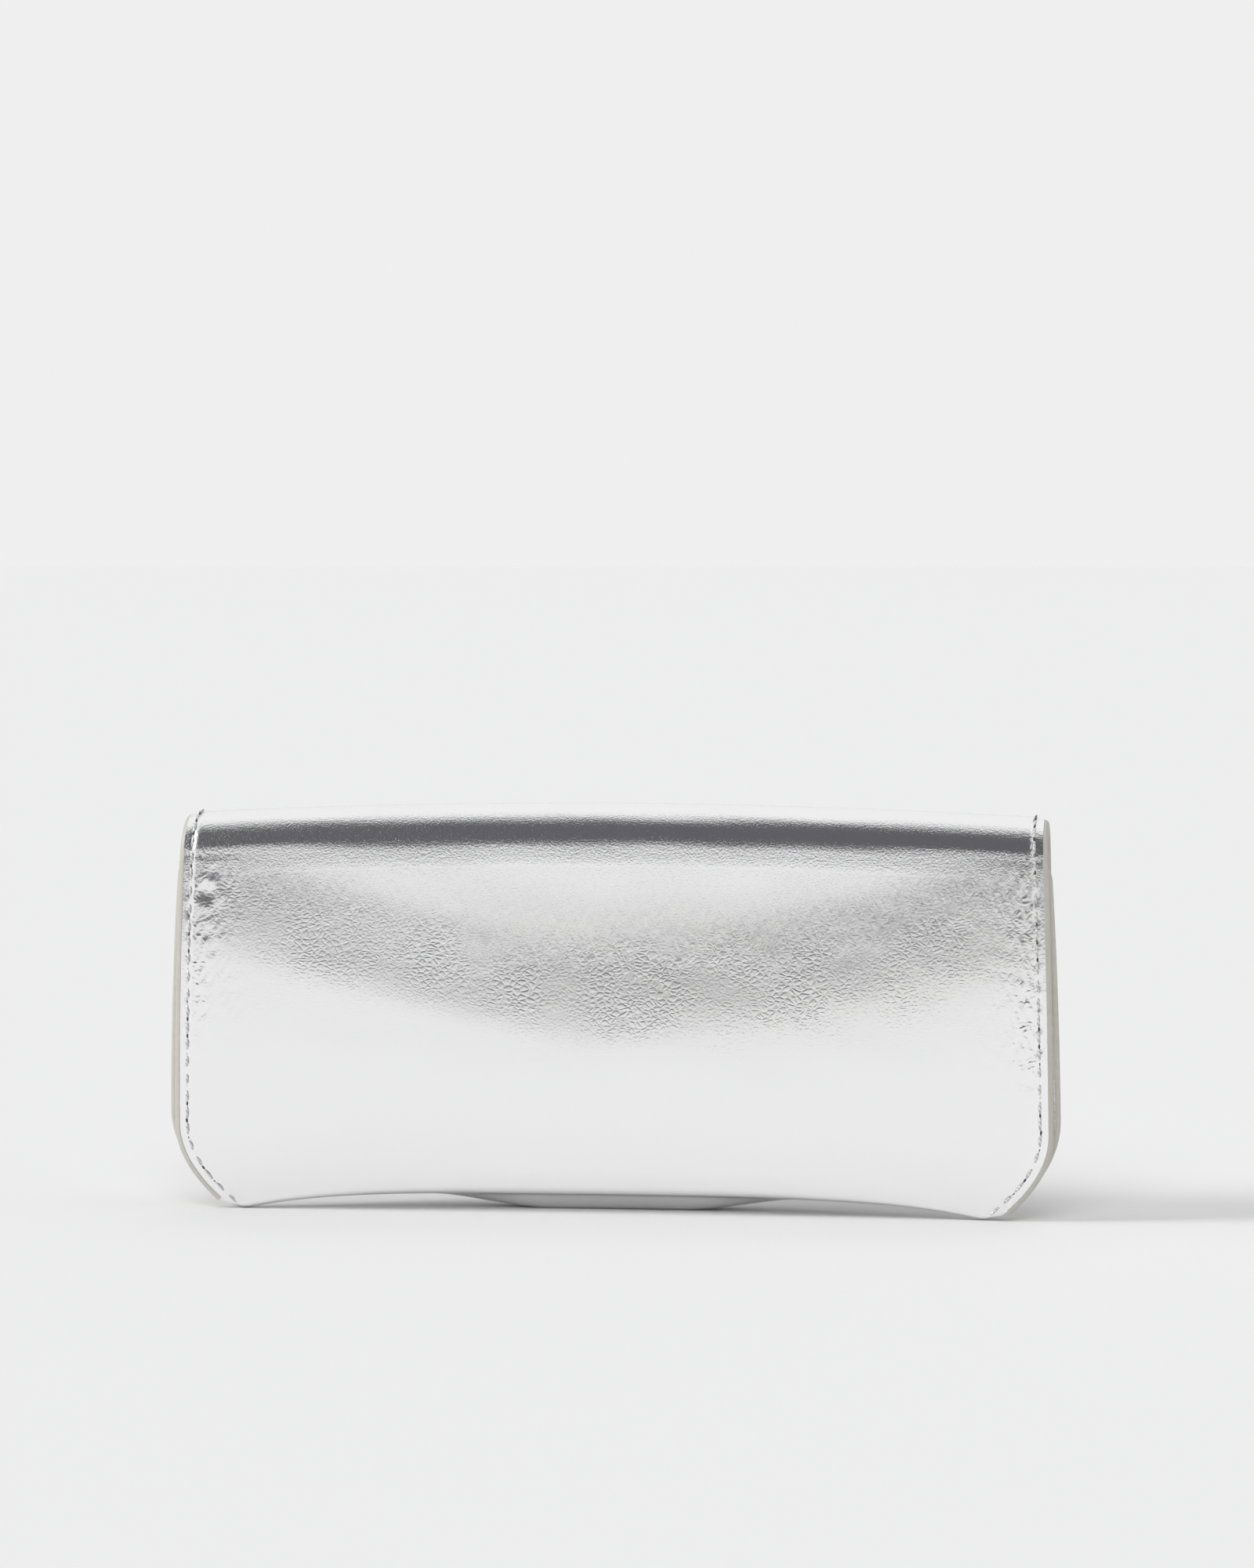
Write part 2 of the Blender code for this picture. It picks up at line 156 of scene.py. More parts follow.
def arch(u):
    x = np.abs(u) * (BACK_HALF - BACK_CORNER[0])
    return ARCH_RISE * np.maximum(0.0, 1 - (x / FOOT_HALF) ** 4)


def front_arch(u):
    return 0.9 * arch(u) * smooth((np.abs(u) - REST_REACH) / REST_RISE)


def roll_height(u):
    return ROLL_HEIGHT - CREST_RISE * u * u


def back_y(u, z):
    onset = 0.006
    down = np.maximum(0.0, roll_height(u) - z)
    drawn = BACK_SLOPE * np.where(down < onset, down**2 / (2 * onset), down - onset / 2)
    shoulder = mix(*SWELL_HEIGHT, (np.abs(u) * BACK_HALF / SWELL_SIDE) ** 1.5)
    swell = BACK_SWELL * smooth((shoulder + SWELL_HALF - z) / (2 * SWELL_HALF))
    return -ROLL_RADIUS + drawn - swell + LEAN * np.maximum(0.0, LEAN_HEIGHT - z) ** 2


def front_y(u, z):
    bend = np.where(z > BULGE_HEIGHT, 8.7, 6.0)
    middle = FRONT_DEPTH - bend * (z - BULGE_HEIGHT) ** 2
    return mix(back_y(np.ones_like(u), z) + SEAM_STACK, middle, fullness(u, 3))


def front_panel(u, t):
    top = MOUTH_HEIGHT - MOUTH_DIP * (1 - u * u)
    bottom = front_arch(u) + mix(*FRONT_FOLD_RADIUS, fullness(u, 3))
    z = mix(top, bottom, t)
    return u * front_half(z), front_y(u, z), z


def bottom_fold(u, t):
    front_radius = mix(*FRONT_FOLD_RADIUS, fullness(u, 3))
    back_radius = mix(*BACK_FOLD_RADIUS, fullness(u, 2))
    front_low, back_low = front_arch(u), arch(u)
    start = front_y(u, front_low + front_radius)
    end = back_y(u, back_low + back_radius)
    turn_a = clamp01(t / 0.4) * math.pi / 2
    turn_b = clamp01((1 - t) / 0.3) * math.pi / 2
    run = clamp01((t - 0.4) / 0.3)
    y_run = mix(start - front_radius, end + back_radius, run)
    z_run = mix(front_low, back_low, smooth((run - REST_RUN) / (1 - REST_RUN)))
    y_a = start - front_radius * (1 - np.cos(turn_a))
    z_a = front_low + front_radius * (1 - np.sin(turn_a))
    y_b = end + back_radius * (1 - np.cos(turn_b))
    z_b = back_low + back_radius * (1 - np.sin(turn_b))
    y = np.select([t < 0.4, t > 0.7], [y_a, y_b], y_run)
    z = np.select([t < 0.4, t > 0.7], [z_a, z_b], z_run)
    return u * mix(front_half(z), back_half(z), smooth(t)), y, z


def back_panel(u, t):
    z = mix(arch(u) + mix(*BACK_FOLD_RADIUS, fullness(u, 2)), roll_height(u), t)
    return u * back_half(z), back_y(u, z), z


def rolled_fold(u, t):
    turn = t * ROLL_SWEEP
    z = roll_height(u) + ROLL_RADIUS * np.sin(turn)
    return u * back_half(z), -ROLL_RADIUS * np.cos(turn), z


def flap_run(u, t):
    top = roll_height(u) + ROLL_RADIUS * math.sin(ROLL_SWEEP)
    start = -ROLL_RADIUS * math.cos(ROLL_SWEEP)
    run = top - BULGE_HEIGHT
    z = mix(top, FLAP_END, t)
    reach = mix(FLAP_SIDE_DEPTH, FLAP_DEPTH, fullness(u * flap_half(z) / FLAP_HALF, 2.5)) - start
    power = run / math.tan(ROLL_SWEEP - math.pi / 2) / reach
    y = start + reach * (1 - np.abs((z - BULGE_HEIGHT) / run) ** power)
    return u * flap_half(z), y, z


PANELS = (front_panel, bottom_fold, back_panel, rolled_fold, flap_run)


def outer_skin(u, s):
    """Points of the smooth outer skin, as an array with x, y, z last."""
    u, s = np.broadcast_arrays(np.asarray(u, float), np.asarray(s, float))
    which = np.clip(np.floor(s), 0, 4).astype(int)
    places = np.zeros((*u.shape, 3))
    for index, panel in enumerate(PANELS):
        here = which == index
        if here.any():
            x, y, z = panel(u[here], s[here] - index)
            places[here] = np.stack([x, y + CENTRE_SHIFT, z], axis=-1)
    return places


def unit(vectors):
    return vectors / np.maximum(np.linalg.norm(vectors, axis=-1, keepdims=True), 1e-12)


def facing(u, s):
    """Outward normals of the smooth skin."""
    u, s = np.broadcast_arrays(np.asarray(u, float), np.asarray(s, float))
    across = outer_skin(np.minimum(u + 1e-3, 1.0), s) - outer_skin(np.maximum(u - 1e-3, -1.0), s)
    along = outer_skin(u, np.minimum(s + 2e-3, 4.9999)) - outer_skin(u, np.maximum(s - 2e-3, 0.0))
    return unit(np.cross(across, along))


def ripples(x, y, length, count, seed, stretch=(1.0, 1.0)):
    """Smooth random waves of about this wavelength, mostly from -1 to 1, longer along x or y by stretch."""
    draw = np.random.default_rng(seed)
    total = np.zeros_like(x)
    for _ in range(count):
        angle, phase = draw.uniform(0, 2 * math.pi, 2)
        size = length * draw.uniform(0.7, 1.5)
        along = x / stretch[0] * math.cos(angle) + y / stretch[1] * math.sin(angle)
        total += np.cos(2 * math.pi * along / size + phase)
    return total / math.sqrt(2 * count)


# --- Surface relief of the leather -------------------------------------------------------------------

RIM_WIDTH = 0.0030  # the leather is turned down to its painted edge over this width
RIM_DROP = 0.00042
GROOVE = 0.00022  # depth that the seam pulls the leather in
GROOVE_HALF = 0.00055
DEEPEST, HIGHEST = -0.00085, 0.00060  # the relief stays between these, inside the leather
DIMPLE_X, DIMPLE_Z = -0.0808, 0.0633  # a dent by the left seam
UPRIGHT_TURNS = np.linspace(0, 1, 201)  # radians round the roll
UPRIGHT_RISE = np.cumsum(ROLL_RADIUS * np.sin(UPRIGHT_TURNS) * (1 - smooth((UPRIGHT_TURNS - 0.15) / 0.14)))
UPRIGHT_RISE = UPRIGHT_RISE / 200


def edge_distance(u, s, place):
    """Distance to the side's cut edge, measured square to it."""
    z = place[..., 2]
    half = np.select([s < 1, s < 2, s < 4], [front_half(z), back_half(z), back_half(z)], flap_half(z))
    step = 1e-4
    lower = np.select([s < 1, s < 4], [front_half(z - step), back_half(z - step)], flap_half(z - step))
    slope = np.clip(np.abs(half - lower) / step, 0, 3)
    return (1 - np.abs(u)) * half / np.sqrt(1 + slope**2)


def crease_fields(u, s, place):
    """Strengths, 0 to 1, of fine creases, upright wrinkles, crinkles by the seams, and open pores."""
    x, z = place[..., 0], place[..., 2]
    back = smooth((s - 1.9) / 0.15) * smooth((3.12 - s) / 0.12)
    across = np.abs(x) / 0.075
    sag = 0.0465 + 0.013 * across**1.6 - 0.004 * smooth(x / 0.05)
    swag = np.exp(-(((z - sag + 0.001) / 0.0100) ** 2))
    heavy = 0.55 + 0.45 * smooth((x + 0.045) / 0.05)
    edge = edge_distance(u, s, place)
    strip = np.exp(-(((edge - 0.0036) / 0.0026) ** 2)) + 0.35 * np.exp(-(((edge - 0.0085) / 0.0045) ** 2))
    strip = strip * smooth((z - 0.012) / 0.020) * np.where(x > 0, 1.0, smooth((z - 0.020) / 0.035))
    fan = np.exp(-(((x - 0.071) / 0.006) ** 2) - ((z - 0.010) / 0.006) ** 2)
    fold = smooth((s - 2.92) / 0.06) * smooth((4.15 - s) / 0.2)
    front = np.where(s < 1.2, 0.35, 0.0) + np.where(s > 4.1, 0.30, 0.0)
    fine = np.maximum(back * swag * heavy, front)
    upright = back * np.exp(-(((z - sag - 0.0085) / 0.0085) ** 2)) * heavy
    crinkle = np.maximum(back * np.maximum(strip, 0.9 * fan), front * strip)
    pores = np.maximum(0.25, fold)
    return clamp01(fine), clamp01(upright), clamp01(crinkle), clamp01(pores)


def relief(u, s, place):
    """Height of the real leather above the smooth skin."""
    x, z = place[..., 0], place[..., 2]
    flat = s * PER_PANEL
    fine, upright, crinkle, _ = crease_fields(u, s, place)
    height = 0.000035 * ripples(x, flat, 0.030, 9, 1, (1.6, 1.0))
    height += 0.000022 * ripples(x, flat, 0.012, 11, 2, (1.8, 1.0))
    height += 0.000008 * fine * ripples(x, flat, 0.0034, 15, 3, (1.2, 1.0))
    height += 0.000012 * upright * ripples(x, flat, 0.0030, 15, 4, (0.7, 2.6))
    tilt = np.sign(x) * 0.55
    slanted = x + tilt * flat
    height += 0.00005 * crinkle * ripples(slanted, flat - tilt * x, 0.0030, 17, 5, (0.7, 1.3))
    away = np.hypot(x - DIMPLE_X, z - DIMPLE_Z)
    pit = -0.00018 * np.exp(-((away / 0.0014) ** 2))
    ring = 0.00005 * np.exp(-(((away - 0.0026) / 0.0009) ** 2))
    height += np.where((s > 2.4) & (s < 3.0), pit + ring, 0)

    # Towards its ends the roll starts higher: the leather stays upright a little longer
    turn = np.clip(s - 3, 0, 1) * ROLL_SWEEP
    late = smooth((np.abs(u) - 0.45) / 0.5) * (1 - smooth((s - 3.55) / 1.0))
    height += late * np.interp(turn, UPRIGHT_TURNS, UPRIGHT_RISE)

    edge = edge_distance(u, s, place)
    free_end = np.where(s > 4.5, (5 - s) * FLAP_LENGTH, np.where(s < 0.5, s * FRONT_LENGTH, 1.0))
    edge = np.minimum(edge, free_end)
    height -= RIM_DROP * (1 - smooth(edge / RIM_WIDTH)) ** 1.3
    sewn = np.where((s > 1.0) & (s < 2.0), 0.0, 1.0)
    pucker = 1 + 0.35 * np.cos(2 * math.pi * flat / STITCH_PITCH)
    height -= GROOVE * sewn * pucker * np.exp(-(((edge - STITCH_INSET) / GROOVE_HALF) ** 2))
    return np.clip(height, DEEPEST, HIGHEST)


def leather_place(u, s):
    smooth_place = outer_skin(u, s)
    return smooth_place + facing(u, s) * relief(u, s, smooth_place)[..., None]


# --- Meshes ------------------------------------------------------------------------------------------


def make_object(name, points, faces, finish, normals=None):
    mesh = bpy.data.meshes.new(name)
    mesh.from_pydata([tuple(p) for p in points], [], [tuple(int(i) for i in f) for f in faces])
    mesh.polygons.foreach_set("use_smooth", [True] * len(mesh.polygons))
    mesh.materials.append(finish)
    mesh.update()
    if normals is not None:
        mesh.normals_split_custom_set(normals.tolist())
    made = bpy.data.objects.new(name, mesh)
    bpy.context.scene.collection.objects.link(made)
    return made


def grid_faces(rows, columns, first=0):
    index = first + np.arange(rows * columns).reshape(rows, columns)
    a, b, c, d = index[:-1, :-1], index[:-1, 1:], index[1:, 1:], index[1:, :-1]
    return np.stack([a, b, c, d], axis=-1).reshape(-1, 4)


def border_ring(rows, columns):
    index = np.arange(rows * columns).reshape(rows, columns)
    return np.concatenate([index[:, 0], index[-1, 1:], index[-2::-1, -1], index[0, -2:0:-1]])


def shell(name, finish, outer, inner, outer_normals, inner_normals, fields=None):
    """A closed sheet between two grids of points, with its surface's own normals."""
    rows, columns = outer.shape[:2]
    count = rows * columns
    points = np.concatenate([outer.reshape(-1, 3), inner.reshape(-1, 3)])
    top = grid_faces(rows, columns)
    under = grid_faces(rows, columns, count)[:, ::-1]
    ring = border_ring(rows, columns)
    after = np.roll(ring, -1)
    wall = np.stack([ring, after, after + count, ring + count], axis=-1)
    edges = points[wall]
    wall_normals = unit(np.cross(edges[:, 2] - edges[:, 0], edges[:, 3] - edges[:, 1]))
    at_points = np.concatenate([outer_normals.reshape(-1, 3), -inner_normals.reshape(-1, 3)])
    normals = np.concatenate(
        [at_points[top].reshape(-1, 3), at_points[under].reshape(-1, 3), np.repeat(wall_normals, 4, axis=0)]
    )
    made = make_object(name, points, np.concatenate([top, under, wall]), finish, normals)
    for label, values in (fields or {}).items():
        attribute = made.data.attributes.new(label, "FLOAT", "POINT")
        attribute.data.foreach_set("value", np.tile(values.reshape(-1), 2).astype(np.float32))
    return made


def spread(*stops):
    """Values from stop to stop, each given as (value, how many steps lead to it)."""
    parts = [np.array([stops[0][0]], float)]
    for (start, _), (end, steps) in zip(stops, stops[1:]):
        parts.append(np.linspace(start, end, steps + 1)[1:])
    return np.concatenate(parts)


# --- Materials ---------------------------------------------------------------------------------------


def colour(code):
    """An sRGB hex colour as linear values."""
    parts = [int(code[i : i + 2], 16) / 255 for i in (1, 3, 5)]
    return (*[c / 12.92 if c <= 0.04045 else ((c + 0.055) / 1.055) ** 2.4 for c in parts], 1.0)


def add(tree, kind, sockets=None, **settings):
    """Adds a node. sockets maps an input's name or number to a value, or to the output linked to it."""
    made = tree.nodes.new(kind)
    for name, value in settings.items():
        setattr(made, name, value)
    for name, value in (sockets or {}).items():
        if isinstance(value, bpy.types.NodeSocket):
            tree.links.new(value, made.inputs[name])
        else:
            made.inputs[name].default_value = value
    return made


def new_material(name):
    made = bpy.data.materials.new(name)
    made.use_nodes = True
    return made, made.node_tree, made.node_tree.nodes["Principled BSDF"]


def foil_leather():
    # Silver foil laminated on thin sheep leather, glazed: an almost perfect mirror that the grain and the
    # creases of the leather break up into soft streaks. Foil metallic, so the reflection has no tint.
    made, tree, shader = new_material("silver_foil_on_sheep_leather")
    shader.inputs["Metallic"].default_value = 1.0
    place = add(tree, "ShaderNodeTexCoord").outputs["Object"]
    fine = add(tree, "ShaderNodeAttribute", attribute_name="fine_creases").outputs["Fac"]
    upright = add(tree, "ShaderNodeAttribute", attribute_name="upright_wrinkles").outputs["Fac"]
    crinkle = add(tree, "ShaderNodeAttribute", attribute_name="seam_crinkles").outputs["Fac"]
    pores = add(tree, "ShaderNodeAttribute", attribute_name="open_pores").outputs["Fac"]

    # Creases bend around each other, so the pattern's place is shifted by slow noise first
    wander = add(tree, "ShaderNodeTexNoise", {"Vector": place, "Scale": 220.0, "Detail": 1.0})
    shift = add(
        tree,
        "ShaderNodeVectorMath",
        {0: wander.outputs["Color"], 1: (0.5, 0.5, 0.5)},
        operation="SUBTRACT",
    )
    bent = add(
        tree,
        "ShaderNodeVectorMath",
        {0: shift.outputs["Vector"], 1: (0.0022, 0.0022, 0.0022), 2: place},
        operation="MULTIPLY_ADD",
    )
    # Fish-scale creases: flat cells about 1.3 mm wide and 0.9 mm high with narrow valleys between them
    cells = add(
        tree,
        "ShaderNodeMapping",
        {"Vector": bent.outputs["Vector"], "Scale": (760.0, 760.0, 1150.0), "Rotation": (0.0, 0.6, 0.0)},
    )
    scales = add(
        tree,
        "ShaderNodeTexVoronoi",
        {"Vector": cells.outputs["Vector"], "Scale": 1.0},
        feature="DISTANCE_TO_EDGE",
    )
    plateaus = add(
        tree,
        "ShaderNodeMapRange",
        {"Value": scales.outputs["Distance"], "From Max": 0.30},
        interpolation_type="SMOOTHSTEP",
    )
    # Upright wrinkles: 0.9 mm apart and 4 mm long
    tall = add(
        tree,
        "ShaderNodeMapping",
        {"Vector": bent.outputs["Vector"], "Scale": (1100.0, 1100.0, 250.0), "Rotation": (0.0, -0.12, 0.0)},
    )
    wrinkles = add(
        tree, "ShaderNodeTexNoise", {"Vector": tall.outputs["Vector"], "Scale": 1.0, "Detail": 2.0}
    )
    # Crinkles by the seams: sharp ridges 1 mm apart
    ridges = add(
        tree,
        "ShaderNodeTexNoise",
        {"Vector": bent.outputs["Vector"], "Scale": 980.0, "Detail": 2.0, "Roughness": 0.5},
        noise_type="RIDGED_MULTIFRACTAL",
    )
    # Pores of the leather telegraphing through the foil, 0.35 mm
    grain = add(
        tree, "ShaderNodeTexNoise", {"Vector": place, "Scale": 2900.0, "Detail": 2.0, "Roughness": 0.6}
    )

    # The creases come and go in patches about 12 mm across
    patches = add(tree, "ShaderNodeTexNoise", {"Vector": place, "Scale": 85.0, "Detail": 1.0})
    spread_out = add(
        tree, "ShaderNodeMapRange", {"Value": patches.outputs["Fac"], "From Min": 0.22, "From Max": 0.66}
    )
    patchy = add(tree, "ShaderNodeMath", {0: spread_out.outputs[0], 1: fine}, operation="MULTIPLY")

    parts = (
        (plateaus.outputs[0], patchy.outputs[0], 0.20),
        (wrinkles.outputs["Fac"], upright, 0.55),
        (ridges.outputs["Fac"], crinkle, 0.45),
    )
    height = grain.outputs["Fac"]
    amount = add(tree, "ShaderNodeMath", {0: pores, 1: 0.50}, operation="MULTIPLY")
    height = add(tree, "ShaderNodeMath", {0: height, 1: amount.outputs[0]}, operation="MULTIPLY").outputs[0]
    for pattern, strength, share in parts:
        scaled = add(tree, "ShaderNodeMath", {0: strength, 1: share}, operation="MULTIPLY")
        height = add(
            tree, "ShaderNodeMath", {0: pattern, 1: scaled.outputs[0], 2: height}, operation="MULTIPLY_ADD"
        ).outputs[0]
    bump = add(tree, "ShaderNodeBump", {"Height": height, "Distance": 0.00016, "Strength": 1.0})
    tree.links.new(bump.outputs["Normal"], shader.inputs["Normal"])

    # The glaze is thinner on the creases, which are a little duller and darker
    cloud = add(tree, "ShaderNodeTexNoise", {"Vector": place, "Scale": 60.0, "Detail": 3.0})
    worn = add(tree, "ShaderNodeMath", {0: upright, 1: fine}, operation="MAXIMUM")
    rough = add(
        tree, "ShaderNodeMath", {0: cloud.outputs["Fac"], 1: 0.05, 2: 0.115}, operation="MULTIPLY_ADD"
    )
    rough = add(
        tree,
        "ShaderNodeMath",
        {0: worn.outputs[0], 1: 0.13, 2: rough.outputs[0]},
        operation="MULTIPLY_ADD",
    )
    tree.links.new(rough.outputs[0], shader.inputs["Roughness"])
    tint = add(
        tree,
        "ShaderNodeMix",
        {"Factor": worn.outputs[0], 6: colour("#fcfcfc"), 7: colour("#f3f3f2")},
        data_type="RGBA",
    )
    tree.links.new(tint.outputs[2], shader.inputs["Base Color"])
    return made


def speckled(name, base, other, size_mm, roughness, depth_mm, sheen=0.0):
    """A plain dull finish whose colour and surface vary at one real size."""
    made, tree, shader = new_material(name)
    place = add(tree, "ShaderNodeTexCoord").outputs["Object"]
    spots = add(tree, "ShaderNodeTexNoise", {"Vector": place, "Scale": 1000 / size_mm, "Detail": 3.0})
    tint = add(
        tree,
        "ShaderNodeMix",
        {"Factor": spots.outputs["Fac"], 6: colour(base), 7: colour(other)},
        data_type="RGBA",
    )
    bump = add(
        tree, "ShaderNodeBump", {"Height": spots.outputs["Fac"], "Distance": depth_mm / 1000}
    )
    tree.links.new(tint.outputs[2], shader.inputs["Base Color"])
    tree.links.new(bump.outputs["Normal"], shader.inputs["Normal"])
    shader.inputs["Roughness"].default_value = roughness
    shader.inputs["Sheen Weight"].default_value = sheen
    return made


def thread_finish():
    # Bonded polyester thread with a silver sheen: smooth yarn whose twist shows as slanted ridges
    made, tree, shader = new_material("bonded_polyester_thread_silver")
    place = add(tree, "ShaderNodeTexCoord").outputs["Object"]
    twist = add(
        tree,
        "ShaderNodeTexWave",
        {"Vector": place, "Scale": 620.0, "Distortion": 1.5, "Detail": 1.0},
        bands_direction="DIAGONAL",
    )
    tint = add(
        tree,
        "ShaderNodeMix",
        {"Factor": twist.outputs["Fac"], 6: colour("#b9b9b9"), 7: colour("#e6e6e4")},
        data_type="RGBA",
    )
    bump = add(tree, "ShaderNodeBump", {"Height": twist.outputs["Fac"], "Distance": 0.00004})
    tree.links.new(tint.outputs[2], shader.inputs["Base Color"])
    tree.links.new(bump.outputs["Normal"], shader.inputs["Normal"])
    shader.inputs["Metallic"].default_value = 0.35
    shader.inputs["Roughness"].default_value = 0.38
    return made


foil = foil_leather()
# Acrylic edge paint rolled on in several coats: satin, slightly uneven, warm grey-cream
edge_paint = speckled("acrylic_edge_paint_warm_grey", "#bcbab0", "#cbc9c0", 1.6, 0.42, 0.02)
# Microfibre cloth, brushed: dull, with a soft sheen at glancing angles
microfibre = speckled("brushed_microfibre_charcoal", "#57575a", "#6d6d70", 0.45, 0.95, 0.08, 0.5)
# Pressed fibreboard: brown-grey pulp with flecks
fibreboard = speckled("pressed_fibreboard", "#9a8c76", "#b5a98f", 0.8, 0.85, 0.05)
# Closed-cell polyethylene foam: off-white with fine cells
cell_foam = speckled("closed_cell_polyethylene_foam", "#dcdad2", "#f0eee8", 0.5, 0.9, 0.10)
# Holes where the needle went through: bare leather, darkened as painted shade for the shadow inside each
# hole
needle_hole = speckled("needle_hole_painted_shade", "#4a4846", "#66625e", 0.3, 0.9, 0.02)
# Bright nickel plating: smooth and reflecting, with faint tumbling marks
nickel = speckled("nickel_plating", "#b9b5ac", "#c8c4ba", 0.6, 0.25, 0.01)
nickel.node_tree.nodes["Principled BSDF"].inputs["Metallic"].default_value = 1.0
thread = thread_finish()

# --- Leather -----------------------------------------------------------------------------------------

across = spread((-1, 0), (-0.86, 30), (0.86, 190), (1, 30))
along = spread(
    (0, 0), (1, 84), (SPLIT_BASE, 26), (2, 22), (3, 100), (SPLIT_ROLL, 26), (4, 14), (4.999, 78)
)
U, S = np.meshgrid(across, along)
skin_places = outer_skin(U, S)
skin_facing = facing(U, S)
heights = relief(U, S, skin_places)
surface = skin_places + skin_facing * heights[..., None]
row_steps = np.gradient(surface, axis=0)
column_steps = np.gradient(surface, axis=1)
surface_facing = unit(np.cross(column_steps, row_steps))
creases = crease_fields(U, S, skin_places)
CREASE_NAMES = ("fine_creases", "upright_wrinkles", "seam_crinkles", "open_pores")


def leather_piece(name, start, end):
    rows = slice(np.argmin(np.abs(along - start)), np.argmin(np.abs(along - end)) + 1)
    return shell(
        name,
        foil,
        surface[rows],
        (skin_places - skin_facing * LEATHER)[rows],
        surface_facing[rows],
        skin_facing[rows],
        {label: field[rows] for label, field in zip(CREASE_NAMES, creases)},
    )


def over_back_hinge(piece):
    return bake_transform(piece)


def over_flap_hinge(piece):
    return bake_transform(piece)


front_skin = leather_piece("pouch_front_leather_skin", 0, SPLIT_BASE)
back_skin = leather_piece("pouch_back_leather_skin", SPLIT_BASE, SPLIT_ROLL)
flap_skin = leather_piece("flap_leather_skin", SPLIT_ROLL, 4.999)
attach(front_skin, "pouch")
over_back_hinge(back_skin)
over_flap_hinge(flap_skin)
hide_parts("front_leather", "base_leather")
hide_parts("back_leather", "fold_leather")
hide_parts("flap_leather")

# --- Lining ------------------------------------------------------------------------------------------

LINING_EDGE = 0.985  # the lining stops at this fraction of the half width


def lining_depth(u, s):
    """Depth of the lining's outer face: deeper where foam and board lie between it and the leather."""

    def over(start, end, reach, deep):
        lift = smooth((reach + 0.10 - np.abs(u)) / 0.08)
        lift = lift * smooth((s - start) / 0.06) * smooth((end - s) / 0.06)
        return (deep - THIN_LINING) * lift

    depth = THIN_LINING + over(0.04, 1.01, 0.70, DEEP_LINING) + over(1.98, 2.96, 0.70, DEEP_LINING)
    depth = depth + over(1.06, 1.94, 0.56, BASE_LINING) + over(4.12, 5.01, 0.86, FLAP_LINING)
    return depth


def lining_piece(name, stops):
    columns = spread((-LINING_EDGE, 0), (-0.60, 24), (0.60, 40), (LINING_EDGE, 24))
    rows = spread(*stops)
    u, s = np.meshgrid(columns, rows)
    place, out, depth = outer_skin(u, s), facing(u, s), lining_depth(u, s)[..., None]
    nap = 0.00003 * ripples(u * BACK_HALF, s * PER_PANEL, 0.006, 9, 8)[..., None]
    return shell(
        name, microfibre, place - out * (depth + nap), place - out * (depth + LINING), out, out
    )


front_lining = lining_piece("pouch_front_lining_cloth", ((0.012, 0), (1, 34), (SPLIT_BASE, 14)))
back_lining = lining_piece(
    "pouch_back_lining_cloth", ((SPLIT_BASE, 0), (2, 12), (3, 36), (SPLIT_ROLL, 14))
)
flap_lining = lining_piece("flap_lining_cloth", ((SPLIT_ROLL, 0), (4, 8), (4.985, 40)))
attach(front_lining, "pouch")
over_back_hinge(back_lining)
over_flap_hinge(flap_lining)
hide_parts("front_lining", "base_lining")
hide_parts("back_lining", "fold_lining")
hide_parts("flap_lining")


# --- Base board ---------------------------------------------------------------------------------------

board_u, board_s = np.meshgrid(np.linspace(-BOARD_REACH, BOARD_REACH, 61), np.linspace(1.265, 1.8, 25))
board_place, board_out = outer_skin(board_u, board_s), facing(board_u, board_s)
base_board = shell(
    "pouch_base_stiffener",
    fibreboard,
    board_place - board_out * BASE_BOARD[0],
    board_place - board_out * BASE_BOARD[1],
    board_out,
    board_out,
)
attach(base_board, "pouch")
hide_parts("base_board")

# --- Painted edges -----------------------------------------------------------------------------------


def edge_route(route):
    """Points, normals and outward directions along a cut edge given as (u, s) pairs."""
    u, s = np.array(route).T
    place, out = outer_skin(u, s), facing(u, s)
    run = unit(np.gradient(place, axis=0))
    away = unit(np.cross(run, out))
    return place, out, away


def painted_edge(name, routes):
    """Domed bead of paint along cut edges, closed at its ends."""
    sides = 9
    angles = np.linspace(math.pi / 2, -math.pi / 2, sides)
    all_points, all_faces, first = [], [], 0
    for route in routes:
        place, out, away = edge_route(route)
        middle = EDGE_TOP + EDGE_THICKNESS / 2
        across_edge = -0.00012 + EDGE_BEAD * np.cos(angles) ** 0.8
        through = -middle + EDGE_THICKNESS / 2 * np.sin(angles)
        ring = place[:, None] + away[:, None] * across_edge[:, None] + out[:, None] * through[:, None]
        rows = len(place)
        index = first + np.arange(rows * sides).reshape(rows, sides)
        a, d = index[:-1], index[1:]
        faces = np.stack([a, np.roll(a, -1, 1), np.roll(d, -1, 1), d], axis=-1).reshape(-1, 4).tolist()
        faces += [index[0, ::-1].tolist(), index[-1].tolist()]
        all_points.append(ring.reshape(-1, 3))
        all_faces += faces
        first += rows * sides
    mesh = bpy.data.meshes.new(name)
    mesh.from_pydata([tuple(p) for p in np.concatenate(all_points)], [], all_faces)
    mesh.polygons.foreach_set("use_smooth", [True] * len(mesh.polygons))
    mesh.materials.append(edge_paint)
    mesh.validate()
    mesh.update()
    mesh.set_sharp_from_angle(angle=math.radians(50))
    made = bpy.data.objects.new(name, mesh)
    bpy.context.scene.collection.objects.link(made)
    return made


def down_side(side, stops):
    return [(side, s) for s in spread(*stops)]


def across_end(s, start, end, count):
    return [(u, s) for u in np.linspace(start, end, count + 1)[1:-1]]


